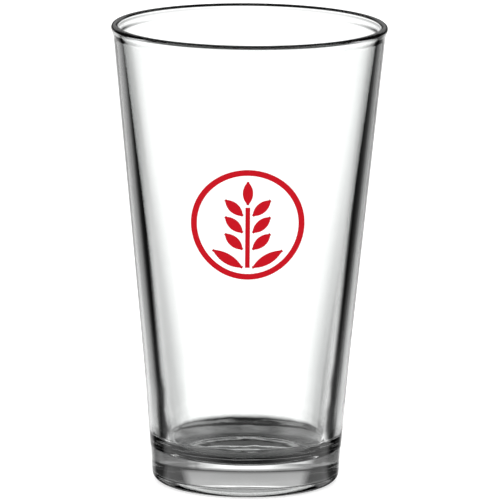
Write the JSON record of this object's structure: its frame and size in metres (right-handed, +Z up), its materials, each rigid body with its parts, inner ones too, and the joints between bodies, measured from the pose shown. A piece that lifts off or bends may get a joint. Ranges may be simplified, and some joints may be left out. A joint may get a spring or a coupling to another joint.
{
  "type": "pint glass",
  "caption": "Clear straight-sided pint glass with a tapered wall, rounded rim, thick base and a red fired enamel print of an ear of grain in a ring",
  "frame": {"origin": "centre of the foot, on the plane of the ring that the glass stands on", "axes": "+Z runs up the axis of the glass through the mouth, the print faces -Y, and +X is to the right of the print as it is read"},
  "size_m": [0.0888, 0.0888, 0.1492],
  "materials": {
    "clear_glass": "fire-polished clear soda-lime glass",
    "red_enamel": "glossy fired ceramic enamel, screen printed"
  },
  "bodies": {
    "root": {"glass_body": "clear_glass", "print_ring": "red_enamel", "print_stem": "red_enamel", "print_leaf_left": "red_enamel", "print_leaf_right": "red_enamel", "print_kernel_top": "red_enamel", "print_kernel_left_1": "red_enamel", "print_kernel_left_2": "red_enamel", "print_kernel_left_3": "red_enamel", "print_kernel_right_1": "red_enamel", "print_kernel_right_2": "red_enamel", "print_kernel_right_3": "red_enamel"}
  },
  "joints": []
}
